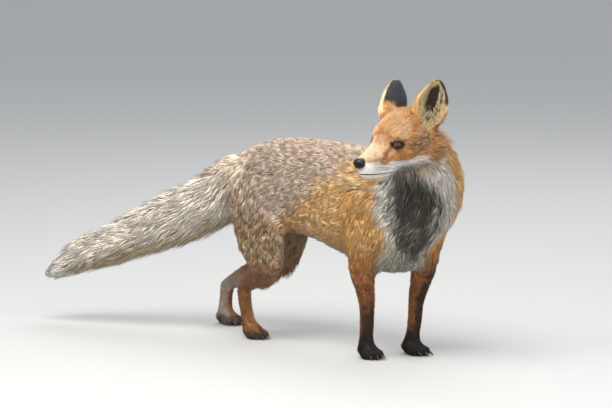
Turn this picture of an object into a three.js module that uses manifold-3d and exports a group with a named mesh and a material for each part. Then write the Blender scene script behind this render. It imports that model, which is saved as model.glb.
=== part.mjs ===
// A life-size red fox standing square in front, one hind leg stretched back, looking to its right.
// Millimetres, +X the way the chest faces, +Y the fox's left, +Z up, and the floor at z = 0.
// The body is lofted whole, out to the tips of the coat, and then parted at its joints with thin cuts.
import * as THREE from "three";
import { mergeVertices } from "three/addons/utils/BufferGeometryUtils.js";
import Module from "manifold-3d";

const wasm = await Module();
wasm.setup();

// Driving dimensions.
const GAP = 0.3; // width of every cut between two parts
const BACK = 365; // height of the back, coat included
const HIP = { x: -95, y: 43, z: 262 };
const SHOULDER = { x: 222, y: 48, z: 240 };
const HEAD = { at: [335, -31, 396], heading: -85, pitch: 13 }; // back of the skull, and its aim
const EYE = { x: 77, y: 25, z: 10, radius: 9.5 };
const NOSE = { at: [148, 0, -2], half: [8.5, 10.5, 8] };
const CHEEK = { at: [22, 27, -16], half: [52, 32, 37], yaw: -14, pitch: 6 };
const EAR = { tip: 70, root: 26, floor: 18, wall: 4, bend: 7, mouth: 13, edge: 0.6 };
const PAW = {
  toes: 4,
  spread: 13,
  inner: 13.3,
  outer: 4.6,
  splay: 8,
  toe: [17, 6.8, 10.5],
  toeHeight: 8.5,
  heel: [25, 17, 17],
  heelAt: [-8, 0, 15],
};
const TAIL = { root: [-128, 2, 298], length: 425, swing: 30 };
const TRUNK_PINCH = 0.1; // how much wider the trunk is low down than high up
const MARKER = 0.5; // radius of the marks that pick a part out

const rad = THREE.MathUtils.degToRad;
const X = new THREE.Vector3(1, 0, 0);
const UP = new THREE.Vector3(0, 0, 1);

// A three.js geometry, moved by a matrix if one is given, as a solid that can be joined and cut.
function solid(geometry, matrix) {
  const bare = geometry.clone();
  bare.deleteAttribute("normal");
  bare.deleteAttribute("uv");
  if (matrix) bare.applyMatrix4(matrix);
  const merged = mergeVertices(bare, 1e-3);
  const vertProperties = merged.attributes.position.array;
  const triVerts = new Uint32Array(merged.index.array);
  const made = new wasm.Manifold(new wasm.Mesh({ numProp: 3, vertProperties, triVerts }));
  if (made.volume() > 0) return made;
  for (let i = 0; i < triVerts.length; i += 3) {
    [triVerts[i + 1], triVerts[i + 2]] = [triVerts[i + 2], triVerts[i + 1]];
  }
  return new wasm.Manifold(new wasm.Mesh({ numProp: 3, vertProperties, triVerts }));
}

const join = (solids) => solids.reduce((whole, piece) => whole.add(piece));

// A closed loft along a smooth line. A station is [centre, half-width across, half-depth, pinch], and a
// positive pinch makes it wider low down. The rings come from a sphere, so that both ends are closed.
function loft(stations, { sides, rings, across = [0, 1, 0] }) {
  const line = new THREE.CatmullRomCurve3(stations.map(([at]) => new THREE.Vector3(...at)));
  const size = new THREE.CatmullRomCurve3(
    stations.map(([, side, deep, pinch = 0]) => new THREE.Vector3(side, deep, pinch)),
  );
  const geometry = new THREE.SphereGeometry(1, sides, rings);
  const position = geometry.getAttribute("position");
  const lateral = new THREE.Vector3(...across);
  const point = new THREE.Vector3();
  for (let i = 0; i < position.count; i++) {
    point.fromBufferAttribute(position, i);
    const t = Math.acos(THREE.MathUtils.clamp(point.y, -1, 1)) / Math.PI;
    const place = line.getPoint(t);
    const isPole = Math.hypot(point.x, point.z) < 1e-6;
    if (!isPole) {
      const angle = Math.atan2(point.z, point.x);
      const along = line.getTangent(t);
      const side = lateral.clone().addScaledVector(along, -lateral.dot(along)).normalize();
      const deep = along.clone().cross(side);
      const half = size.getPoint(t);
      place.addScaledVector(side, half.x * (1 - half.z * Math.sin(angle)) * Math.cos(angle));
      place.addScaledVector(deep, half.y * Math.sin(angle));
    }
    position.setXYZ(i, ...place);
  }
  return solid(geometry);
}

// An egg: a sphere stretched to three half-sizes and turned about Y, then Z, in degrees.
function egg(at, half, { pitch = 0, yaw = 0, sides, rings, frame }) {
  const turn = new THREE.Quaternion().setFromEuler(new THREE.Euler(0, rad(pitch), rad(yaw), "ZYX"));
  const matrix = new THREE.Matrix4();
  matrix.compose(new THREE.Vector3(...at), turn, new THREE.Vector3(...half));
  const sphere = new THREE.SphereGeometry(1, sides, rings).rotateZ(Math.PI / 2);
  return solid(sphere, matrix.premultiply(frame));
}

// The point a share of the way from one joint to another.
const between = (from, to, share) => from.map((value, i) => value + (to[i] - value) * share);
const moved = (point, by) => point.map((value, i) => value + by[i]);

// ---- Trunk: rump, loin, belly and chest in one loft. Each row is x, top, bottom, half-width. ----
const TRUNK_ROWS = [
  [-176, 314, 262, 24],
  [-162, 337, 224, 52],
  [-120, BACK - 16, 205, 68],
  [-60, BACK - 3, 190, 70],
  [10, BACK + 1, 186, 69],
  [80, BACK + 1, 178, 73],
  [145, BACK + 1, 162, 79],
  [205, BACK - 1, 148, 84],
  [252, BACK - 12, 143, 88],
  [290, 338, 158, 76],
  [313, 305, 185, 46],
  [322, 265, 215, 16],
];
const trunk = loft(
  TRUNK_ROWS.map(([x, top, bottom, side]) => {
    return [[x, 0, (top + bottom) / 2], side, (top - bottom) / 2, TRUNK_PINCH];
  }),
  { sides: 20, rings: 18 },
);

// ---- Neck: it rises from the chest and bends to the right, under a deep ruff. ----
const neck = loft(
  [
    [[204, 2, 240], 74, 80],
    [[246, 5, 258], 88, 92],
    [[286, 8, 292], 90, 88],
    [[309, -2, 330], 79, 77],
    [[322, -18, 368], 60, 62],
    [[330, -32, 398], 38, 40],
  ],
  { sides: 16, rings: 10 },
);

// ---- Legs. Each bone is a loft with round ends, so that the joints swell a little. ----
const BONE_LOOK = { sides: 9, rings: 6 };

// A paw: toes side by side over a heel pad, all cut flat at the floor.
function paw([x, y], yaw) {
  const frame = new THREE.Matrix4().makeRotationZ(rad(yaw)).setPosition(x, y, 0);
  const pieces = [egg(PAW.heelAt, PAW.heel, { frame, sides: 8, rings: 6 })];
  for (let i = 0; i < PAW.toes; i++) {
    const across = (2 * i) / (PAW.toes - 1) - 1;
    const isOuter = Math.abs(across) === 1;
    const at = [isOuter ? PAW.outer : PAW.inner, across * PAW.spread, PAW.toeHeight];
    pieces.push(egg(at, PAW.toe, { frame, yaw: across * PAW.splay, sides: 6, rings: 5 }));
  }
  return join(pieces);
}

// A foreleg: upper arm under the shoulder's coat, forearm, then the pastern down to the paw.
function foreleg({ sign, elbow, wrist, foot, yaw }) {
  const shoulder = between([SHOULDER.x, sign * SHOULDER.y, SHOULDER.z], elbow, 0.5);
  const arm = [shoulder[0] + 18, shoulder[1] + sign * 6];
  const ankle = [...foot, 0];
  return join([
    loft(
      [
        [[arm[0] - 2, arm[1] - sign * 9, SHOULDER.z + 28], 26, 40],
        [[...arm, SHOULDER.z - 16], 37, 54],
        [[arm[0] - 6, arm[1], shoulder[2] - 6], 33, 45],
        [moved(elbow, [2, sign * 2, -10]), 25, 31],
        [moved(elbow, [2, 0, -38]), 16, 18],
      ],
      { sides: 14, rings: 8 },
    ),
    loft(
      [
        [moved(elbow, [2, 0, 6]), 14, 16],
        [moved(elbow, [2, sign * 2, -14]), 24, 27],
        [moved(between(elbow, wrist, 0.5), [2, 0, 0]), 19, 21.5],
        [moved(wrist, [0, 0, 12]), 16, 17],
        [moved(wrist, [1, 0, -12]), 12, 12],
      ],
      BONE_LOOK,
    ),
    loft(
      [
        [moved(wrist, [0, 0, 14]), 11, 12],
        [wrist, 16, 16.5],
        [moved(between(wrist, ankle, 0.44), [-5, 0, 0]), 14.5, 14.5],
        [moved(ankle, [-12, 0, 20]), 16, 15],
        [moved(ankle, [-8, 0, 8]), 10, 9],
      ],
      BONE_LOOK,
    ),
    paw(foot, yaw),
  ]);
}

// A hind leg: a broad thigh from the hip to the knee, the shank back to the hock, then the pastern.
function hindleg({ sign, knee, hock, foot, yaw }) {
  const hip = [HIP.x, sign * HIP.y, HIP.z];
  const ankle = [...foot, 0];
  return join([
    loft(
      [
        [moved(hip, [-14, -sign * 12, 50]), 22, 40],
        [moved(hip, [-6, -sign * 4, 12]), 35, 74],
        [moved(between(hip, knee, 0.44), [-12, 0, 0]), 33, 68],
        [moved(knee, [-36, 0, -4]), 27, 57],
        [moved(knee, [-44, -sign * 3, -28]), 17, 38],
      ],
      { sides: 14, rings: 9 },
    ),
    loft(
      [
        [moved(knee, [-16, 0, 4]), 14, 20],
        [moved(between(knee, hock, 0.27), [-8, 0, -4]), 23, 42],
        [between(knee, hock, 0.6), 18, 27],
        [between(knee, hock, 0.88), 14, 18],
        [moved(hock, [-10, 0, 2]), 8, 8],
      ],
      BONE_LOOK,
    ),
    loft(
      [
        [moved(hock, [-4, 0, 15]), 9, 10],
        [hock, 14.5, 17],
        [moved(between(hock, ankle, 0.44), [-7, 0, 0]), 14, 14.5],
        [moved(ankle, [-14, 0, 19]), 15.5, 14.5],
        [moved(ankle, [-8, 0, 8]), 10, 9],
      ],
      BONE_LOOK,
    ),
    paw(foot, yaw),
  ]);
}
const LEGS = {
  fore_left: { sign: 1, elbow: [242, 61, 166], wrist: [240, 48, 76], foot: [246, 43], yaw: 4 },
  fore_right: { sign: -1, elbow: [214, -52, 166], wrist: [222, -48, 76], foot: [228, -46], yaw: -8 },
  hind_left: { sign: 1, knee: [-104, 46, 132], hock: [-256, 28, 74], foot: [-246, 26], yaw: 6 },
  hind_right: { sign: -1, knee: [-6, -64, 152], hock: [-114, -50, 90], foot: [-84, -48], yaw: -6 },
};
const legs = [
  foreleg(LEGS.fore_left),
  foreleg(LEGS.fore_right),
  hindleg(LEGS.hind_left),
  hindleg(LEGS.hind_right),
];

// ---- Tail: a full brush that hangs back and swings to the right. Each row is the share of its length,
// how far it has swung and dropped, and its half-width and half-depth. ----
const TAIL_ROWS = [
  [0, 0, 4, 26, 34],
  [0.08, -4, -17, 40, 53],
  [0.2, -8, -60, 48, 62],
  [0.43, -8, -106, 49, 58],
  [0.6, -3, -138, 46, 48],
  [0.82, 4, -174, 38, 38],
  [0.94, 6, -203, 23, 22],
  [1, 5, -214, 9, 9],
];
const tailPoint = ([share, sway, drop]) => {
  const back = new THREE.Vector3(-share * TAIL.length, sway, drop);
  return back.applyAxisAngle(UP, rad(TAIL.swing)).add(new THREE.Vector3(...TAIL.root)).toArray();
};
const tail = loft(
  TAIL_ROWS.map((row) => [tailPoint(row), row[3], row[4]]),
  { sides: 14, rings: 15, across: [Math.sin(rad(TAIL.swing)), -Math.cos(rad(TAIL.swing)), 0] },
);

// ---- Head, in its own frame: +X to the nose, +Y its left, +Z up.
// Each row is x, top, bottom, half-width, pinch. ----
const headFrame = new THREE.Matrix4()
  .makeRotationFromEuler(new THREE.Euler(0, rad(HEAD.pitch), rad(HEAD.heading), "ZYX"))
  .setPosition(...HEAD.at);
const SKULL_ROWS = [
  [-26, 26, -18, 22, 0.1],
  [-10, 46, -40, 45, 0.12],
  [12, 58, -50, 55, 0.14],
  [36, 60, -51, 54, 0.16],
  [57, 51, -51, 45, 0.14],
  [74, 39, -49, 35, 0.08],
  [90, 26, -46, 27.5, 0],
  [106, 19, -43, 23, -0.08],
  [122, 14, -40, 19, -0.16],
  [136, 10, -36, 16, -0.2],
  [145, 4, -30, 11.5, -0.2],
  [149, -2, -22, 6, -0.1],
];
const skull = loft(
  SKULL_ROWS.map(([x, top, bottom, side, pinch]) => {
    return [[x, 0, (top + bottom) / 2], side, (top - bottom) / 2, pinch];
  }),
  { sides: 16, rings: 17 },
).transform(headFrame.toArray());
const cheek = (sign) =>
  egg([CHEEK.at[0], sign * CHEEK.at[1], CHEEK.at[2]], CHEEK.half, {
    yaw: sign * CHEEK.yaw,
    pitch: CHEEK.pitch,
    sides: 12,
    rings: 8,
    frame: headFrame,
  });

// The eyes and the nose are pieces of their own, each in a bed wider than itself by the width of a cut.
const eyeball = (sign, extra) => {
  const radius = EYE.radius + extra;
  const at = [EYE.x, sign * EYE.y, EYE.z];
  return egg(at, [radius, radius, radius], { sides: 10, rings: 6, frame: headFrame });
};
const nosePad = (extra) =>
  egg(NOSE.at, NOSE.half.map((half) => half + extra), { sides: 10, rings: 6, frame: headFrame });

// ---- Ears: each a pointed cup on a root sunk in the head, leaning out by `lean` and back by `rake`,
// and opening `open` degrees outward from the front. `cut` is how far up it is parted from the head.
// Each row is a height over the root, and the half-width and half-depth there. ----
const EAR_ROWS = [
  [-EAR.root, 16, 11],
  [-12, 26, 15],
  [2, 33, 18],
  [EAR.floor, 33, 18],
  [33, 30, 16],
  [46, 24.5, 13],
  [58, 17, 8.5],
  [66, 10.5, 6],
  [EAR.tip, 4, 2],
];
const EARS = {
  left: { sign: 1, open: 48, lean: 20, rake: 18, at: [12, 40, 38], cut: 12 },
  right: { sign: -1, open: 88, lean: 13, rake: 26, at: [14, 38, 31], cut: 18 },
};
function earFrame({ sign, open, lean, rake, at }) {
  const turn = new THREE.Euler(rad(-sign * lean), rad(-rake), rad(sign * open), "XYZ");
  const frame = new THREE.Matrix4().makeRotationFromEuler(turn).setPosition(at[0], sign * at[1], at[2]);
  return frame.premultiply(headFrame);
}
function earShape(rows, thin, forward) {
  const stations = rows.map(([height, side, deep]) => {
    const share = height / EAR.tip;
    return [
      [forward * (1.25 - share) - EAR.bend * share * share, 0, height],
      Math.max(side - thin, EAR.edge),
      Math.max(deep - thin, EAR.edge),
    ];
  });
  return loft(stations, { sides: 12, rings: 9 });
}
function earCup(place) {
  const hollowRows = EAR_ROWS.filter(([height]) => height >= EAR.floor && height < EAR.tip);
  const hollow = earShape(hollowRows, EAR.wall, EAR.mouth);
  return earShape(EAR_ROWS, 0, 0).subtract(hollow).transform(earFrame(place).toArray());
}

// ---- Cuts. A slab is a thin sheet across a joint. A block is the thin skin of boxes round a part. ----
function slab(at, along, [halfY, halfZ], frame = new THREE.Matrix4()) {
  const normal = new THREE.Vector3(...along).normalize();
  const turn = new THREE.Quaternion().setFromUnitVectors(X, normal);
  const matrix = new THREE.Matrix4().makeRotationFromQuaternion(turn).setPosition(...at);
  return solid(new THREE.BoxGeometry(GAP, 2 * halfY, 2 * halfZ), matrix.premultiply(frame));
}
function block(boxes, frame) {
  const grown = (extra) =>
    join(
      boxes.map(([low, high]) => {
        const box = new THREE.BoxGeometry(...high.map((end, i) => end - low[i] + extra));
        return solid(box.translate(...between(low, high, 0.5)), frame);
      }),
    );
  return grown(GAP).subtract(grown(-GAP));
}
const CUT = {
  elbow: 136,
  pastern: 58,
  hindFoot: 46,
  shoulder: 250,
  haunch: 312,
  groin: 190,
  flank: 38,
  side: 130,
};
const JAW = { at: [106, 0, -30], tilt: -12 };
const jawFrame = new THREE.Matrix4()
  .makeRotationY(rad(JAW.tilt))
  .setPosition(...JAW.at)
  .premultiply(headFrame);
const tailCut = (row, half) => {
  const at = tailPoint(row);
  return slab(at, moved(TAIL.root, at.map((value) => -value)), half);
};
const armBlock = ([inner, outer]) => block([[[168, inner, CUT.elbow], [285, outer, CUT.shoulder]]]);
const cuts = [
  slab([311, -8, 338], [0.44, -0.31, 0.84], [95, 105]), // head from neck
  slab([262, 0, 300], [0.75, 0, 0.66], [112, 130]), // neck from chest
  slab([100, 0, 270], [1, 0, 0], [110, 120]), // chest from loin
  tailCut([0.22, -8, -64], [60, 72]),
  tailCut([0.48, -8, -116], [70, 70]),
  tailCut([0.76, 2, -164], [70, 60]),
  slab([0, 0, EARS.left.cut], [0, 0, 1], [39, 28], earFrame(EARS.left)),
  slab([0, 0, EARS.right.cut], [0, 0, 1], [39, 28], earFrame(EARS.right)),
  block([[[-40, -45, -50], [70, 45, 0]]], jawFrame),
  armBlock([46, CUT.side]),
  armBlock([-CUT.side, -46]),
  block([
    [[-195, CUT.flank, CUT.groin - 10], [15, CUT.side, CUT.haunch]],
    [[-195, 6, 40], [15, CUT.side, CUT.groin]],
  ]),
  block([
    [[-150, -CUT.side, CUT.groin - 10], [45, -CUT.flank, CUT.haunch]],
    [[-150, -CUT.side, 100], [45, -2, CUT.groin]],
  ]),
  slab([LEGS.fore_left.elbow[0], 50, CUT.elbow], [0, 0, 1], [60, 46]),
  slab([LEGS.fore_right.elbow[0], -50, CUT.elbow], [0, 0, 1], [60, 46]),
  slab([...LEGS.fore_left.foot, CUT.pastern], [0, 0, 1], [40, 40]),
  slab([...LEGS.fore_right.foot, CUT.pastern], [0, 0, 1], [40, 40]),
  slab([...LEGS.hind_left.foot, CUT.hindFoot], [0, 0, 1], [40, 40]),
  slab([...LEGS.hind_right.foot, CUT.hindFoot], [0, 0, 1], [40, 40]),
];

// ---- The whole body, cut flat at the floor, cleared for the eyes and the nose, and parted. ----
const floor = solid(new THREE.BoxGeometry(2000, 1000, 200).translate(0, 0, -100));
const beds = join([nosePad(GAP), eyeball(1, GAP), eyeball(-1, GAP)]);
const ears = Object.values(EARS).map(earCup);
const whole = join([trunk, neck, tail, skull, cheek(1), cheek(-1), ...ears, ...legs]);
const pieces = whole.subtract(join([floor, beds, ...cuts])).decompose();

// ---- Parts: name, a point inside, colour. ----
const inFrame = (frame, at) => new THREE.Vector3(...at).applyMatrix4(frame).toArray();
const PARTS = [
  ["head", inFrame(headFrame, [20, 0, 0]), 0xc9793c],
  ["jaw", inFrame(headFrame, [105, 0, -38]), 0xe9e4da],
  ["ear_left", inFrame(earFrame(EARS.left), [-10, 0, 22]), 0x2b2724],
  ["ear_right", inFrame(earFrame(EARS.right), [-10, 0, 22]), 0x2b2724],
  ["neck", [300, 0, 310], 0xc78a4e],
  ["trunk_front", [180, 0, 270], 0xb98b5c],
  ["trunk_rear", [-60, 0, 280], 0xa58d74],
  ["tail_base", tailPoint([0.33, -8, -86]), 0xa39280],
  ["tail_middle", tailPoint([0.62, -3, -140]), 0xb0a08c],
  ["tail_tip", tailPoint([0.88, 4, -186]), 0xcfc8bc],
  ["fore_left_upper", [246, 76, 200], 0xb5763c],
  ["fore_left_lower", [240, 50, 100], 0x4a3528],
  ["fore_left_foot", [238, 44, 30], 0x211c1a],
  ["fore_right_upper", [232, -76, 200], 0xb5763c],
  ["fore_right_lower", [222, -48, 100], 0x8a5632],
  ["fore_right_foot", [218, -46, 30], 0x211c1a],
  ["hind_left_upper", [-90, 50, 200], 0x9c6a44],
  ["hind_left_lower", [-254, 28, 66], 0x9a5d38],
  ["hind_left_foot", [-258, 26, 24], 0xa89c8e],
  ["hind_right_upper", [-70, -60, 200], 0x9c7a58],
  ["hind_right_lower", [-110, -50, 80], 0x9a5d38],
  ["hind_right_foot", [-96, -48, 24], 0x8a5f44],
];
const ROUGHNESS = { coat: 0.9, eye: 0.1, nose: 0.4 };
const fox = new THREE.Group();
function add(made, name, color, roughness) {
  const { vertProperties, triVerts } = made.getMesh();
  const geometry = new THREE.BufferGeometry();
  geometry.setAttribute("position", new THREE.BufferAttribute(vertProperties, 3));
  geometry.setIndex(new THREE.BufferAttribute(triVerts, 1));
  const material = new THREE.MeshStandardMaterial({ color, roughness, metalness: 0 });
  const mesh = new THREE.Mesh(geometry, material);
  mesh.name = name;
  fox.add(mesh);
}
for (const [name, at, color] of PARTS) {
  const mark = solid(new THREE.OctahedronGeometry(MARKER).translate(...at));
  add(pieces.find((piece) => piece.intersect(mark).volume() > 0), name, color, ROUGHNESS.coat);
}
add(eyeball(1, 0), "eye_left", 0x9a6a1e, ROUGHNESS.eye);
add(eyeball(-1, 0), "eye_right", 0x9a6a1e, ROUGHNESS.eye);
add(nosePad(0), "nose", 0x17181b, ROUGHNESS.nose);

// ---- The origin: the middle of the footprint, on the floor. ----
const middle = new THREE.Box3().setFromObject(fox).getCenter(new THREE.Vector3());
for (const mesh of fox.children) mesh.geometry.translate(-middle.x, -middle.y, 0);

export default fox;
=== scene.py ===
import math

import bmesh
import bpy
import numpy as np
from mathutils import Matrix, Vector
from mathutils.bvhtree import BVHTree
from mathutils.kdtree import KDTree


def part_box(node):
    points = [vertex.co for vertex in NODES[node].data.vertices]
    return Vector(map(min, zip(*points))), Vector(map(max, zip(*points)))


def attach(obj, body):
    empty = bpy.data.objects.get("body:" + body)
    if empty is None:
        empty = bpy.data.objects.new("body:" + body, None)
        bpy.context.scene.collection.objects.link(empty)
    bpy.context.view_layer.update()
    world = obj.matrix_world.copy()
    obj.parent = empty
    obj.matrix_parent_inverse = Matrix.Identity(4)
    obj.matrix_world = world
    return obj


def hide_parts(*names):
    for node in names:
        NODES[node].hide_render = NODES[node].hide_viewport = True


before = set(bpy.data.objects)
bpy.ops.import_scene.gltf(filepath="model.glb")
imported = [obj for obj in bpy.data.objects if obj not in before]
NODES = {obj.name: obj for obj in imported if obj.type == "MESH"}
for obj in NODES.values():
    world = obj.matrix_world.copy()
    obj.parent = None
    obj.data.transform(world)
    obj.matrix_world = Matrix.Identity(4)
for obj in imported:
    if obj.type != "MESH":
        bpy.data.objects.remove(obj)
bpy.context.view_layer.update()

# ---- Camera, floor and studio light ----
# The fox is seen from its right front quarter and a little from above, through a long lens. The floor is
# pale and plain, and three large soft lamps stand round the model, the main one high on the camera's left.
IMAGE_WIDTH = 612
VIEW_DISTANCE = 9.0
VIEW_CENTRE = Vector((0.0469, 0.0577, 0.245))
PIXELS_PER_METRE = 565
SENSOR = 36.0
FLOOR_SIZE = 14.0


def show(name, data):
    """An object in the scene for a finished mesh, a lamp or a camera."""
    made = bpy.data.objects.new(name, data)
    bpy.context.collection.objects.link(made)
    return made


def aim(name, data, azimuth, height, distance):
    """Stands a camera or lamp off from the model, so many degrees round from its right side and up."""
    turn = math.radians(azimuth)
    lift = math.radians(height)
    away = Vector((math.sin(turn) * math.cos(lift), -math.cos(turn) * math.cos(lift), math.sin(lift)))
    made = show(name, data)
    made.location = VIEW_CENTRE + away * distance
    made.rotation_euler = away.to_track_quat("Z", "Y").to_euler()
    return made


def lamp(name, azimuth, height, distance, size, power, colour):
    data = bpy.data.lights.new(name, "AREA")
    data.size = size
    data.energy = power
    data.color = colour
    aim(name, data, azimuth, height, distance)


def plug(socket, value):
    """Gives a socket of a shader node a plain value, or another node's output."""
    if isinstance(value, bpy.types.NodeSocket):
        socket.id_data.links.new(value, socket)
    else:
        socket.default_value = value


def feed(node, **sockets):
    for title, value in sockets.items():
        plug(node.inputs[title.replace("_", " ")], value)


def dress(material, **sockets):
    feed(material.node_tree.nodes["Principled BSDF"], **sockets)


def paint(name, **sockets):
    """A new material with these sockets of its main shader set."""
    made = bpy.data.materials.new(name)
    made.use_nodes = True
    dress(made, **sockets)
    return made


def solid(name, work, material):
    """An object for a finished bmesh, smooth all over and in one material."""
    mesh = bpy.data.meshes.new(name)
    work.to_mesh(mesh)
    work.free()
    mesh.shade_smooth()
    mesh.materials.append(material)
    return show(name, mesh)


camera_data = bpy.data.cameras.new("camera")
camera_data.sensor_width = SENSOR
camera_data.lens = SENSOR * VIEW_DISTANCE * PIXELS_PER_METRE / IMAGE_WIDTH
bpy.context.scene.camera = aim("camera", camera_data, 50, 7, VIEW_DISTANCE)
lamp("main_lamp", 22, 56, 2.6, 1.8, 116, (1.0, 0.97, 0.92))
lamp("front_lamp", 80, 24, 3.0, 2.4, 40, (1.0, 0.98, 0.96))
lamp("back_lamp", 215, 50, 3.0, 2.2, 48, (0.97, 0.98, 1.0))
studio = bpy.data.worlds.new("studio")
studio.use_nodes = True
feed(studio.node_tree.nodes["Background"], Color=(0.86, 0.9, 0.95, 1), Strength=1.0)
bpy.context.scene.world = studio
bpy.context.scene.view_settings.view_transform = "Standard"

floor_mesh = bmesh.new()
bmesh.ops.create_grid(floor_mesh, x_segments=1, y_segments=1, size=FLOOR_SIZE / 2)
floor = solid("floor", floor_mesh, paint("pale_floor", Base_Color=(0.36, 0.36, 0.35, 1), Roughness=0.85))

# ---- Outer form of the coat ----
# The fox's flesh and fur together: the solid parts of head, neck, trunk, legs and tail, grown until they
# touch, made into one closed surface and smoothed. The tips of the coat end near it.
EYE_NODES = ["eye_left", "eye_right"]
FLESH = [name for name in NODES if name not in EYE_NODES + ["nose"]]
GROW = 0.0004
VOXEL = 0.002


def read(mesh, what="co"):
    """A row for each vertex: its place, or its normal."""
    flat = np.empty(len(mesh.vertices) * 3)
    mesh.vertices.foreach_get(what, flat)
    return flat.reshape(-1, 3)


def put_points(mesh, points):
    mesh.vertices.foreach_set("co", np.ascontiguousarray(points, dtype=np.float32).ravel())
    mesh.update()


def finished(made):
    """The mesh of an object with its modifiers worked in."""
    bpy.context.view_layer.update()
    seen = made.evaluated_get(bpy.context.evaluated_depsgraph_get())
    return bpy.data.meshes.new_from_object(seen)


joined = bmesh.new()
for name in FLESH + EYE_NODES:
    part = bmesh.new()
    part.from_mesh(NODES[name].data)
    bmesh.ops.remove_doubles(part, verts=part.verts, dist=1e-5)
    part.normal_update()
    for vertex in part.verts:
        vertex.co += vertex.normal * GROW
    grown = bpy.data.meshes.new("grown")
    part.to_mesh(grown)
    part.free()
    joined.from_mesh(grown)
    bpy.data.meshes.remove(grown)
form_data = bpy.data.meshes.new("form")
joined.to_mesh(form_data)
joined.free()
form = show("form", form_data)
remesh = form.modifiers.new("remesh", "REMESH")
remesh.mode = "VOXEL"
remesh.voxel_size = VOXEL
form.data = finished(form)
form.modifiers.clear()

# ---- Anatomy: how the coat lies ----
# The coat is combed along lines that run from the nose over the skull and down the neck, along the back,
# down each leg and out along the tail and ears. Each point of a line says how thick the body is there,
# how deep the coat stands, and how long and wide its locks are.
MIDLINE = Vector((0.0469, 0.0577, 0.0))


def on_body(x, y, z):
    """A place in millimetres from the middle of the body, forward, to its left and up."""
    return MIDLINE + Vector((x, y, z)) / 1000


def middle(name):
    low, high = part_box(name)
    return (low + high) / 2


EYE_IN_HEAD = Vector((0.077, 0, 0.010))
NOSE_DROP = math.atan2(0.012, 0.071)
between_eyes = (middle("eye_left") + middle("eye_right")) / 2
HEAD_LEFT = (middle("eye_left") - middle("eye_right")).normalized()
to_nose = (middle("nose") - between_eyes).normalized()
HEAD_FORWARD = (Matrix.Rotation(-NOSE_DROP, 3, HEAD_LEFT) @ to_nose).normalized()
HEAD_UP = HEAD_FORWARD.cross(HEAD_LEFT)
HEAD_AXES = np.array([HEAD_FORWARD, HEAD_LEFT, HEAD_UP])
HEAD_ORIGIN = between_eyes - HEAD_FORWARD * EYE_IN_HEAD.x - HEAD_UP * EYE_IN_HEAD.z


def on_head(x, y, z):
    """A place in millimetres from the back of the skull, to the nose, to the head's left and up."""
    return HEAD_ORIGIN + (HEAD_FORWARD * x + HEAD_LEFT * y + HEAD_UP * z) / 1000


def in_head(points):
    """Places in metres along the head's own axes."""
    return (points - np.array(HEAD_ORIGIN)) @ HEAD_AXES.T


def ear_axes(side, lean, rake, turn):
    axes = Matrix.Rotation(math.radians(-side * lean), 3, "X")
    axes = axes @ Matrix.Rotation(math.radians(-rake), 3, "Y")
    axes = axes @ Matrix.Rotation(math.radians(side * turn), 3, "Z")
    return Matrix(HEAD_AXES).transposed() @ axes


EAR_ROOTS = {"left": on_head(12, 40, 38), "right": on_head(14, -38, 31)}
EAR_AXES = {"left": ear_axes(1, 20, 18, 48), "right": ear_axes(-1, 13, 26, 88)}


def on_ear(side, x, y, z):
    """A place in millimetres from an ear's root: out of its cup, across it and up to its tip."""
    return EAR_ROOTS[side] + EAR_AXES[side] @ Vector((x, y, z)) / 1000


TAIL_ROOT = on_body(-128, 2, 298)
TAIL_SWING = math.radians(30)


def on_tail(along, sway, drop):
    back = Vector((-along, sway, drop)) / 1000
    return TAIL_ROOT + Matrix.Rotation(TAIL_SWING, 3, "Z") @ back


def comb_line(placed, rows):
    """The places along a line, and with each the thickness, depth, length and width there, in metres."""
    return np.array([placed(*row[:3]) for row in rows]), np.array([row[3:] for row in rows]) / 1000


EAR_COMB = [
    (0, 0, -22, 18, 5, 14, 1.12),
    (0, 0, 10, 26, 1.4, 8, 0.84),
    (-4, 0, 45, 18, 0.7, 5, 0.63),
    (-7, 0, 70, 8, 0.5, 3.5, 0.49),
]
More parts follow.
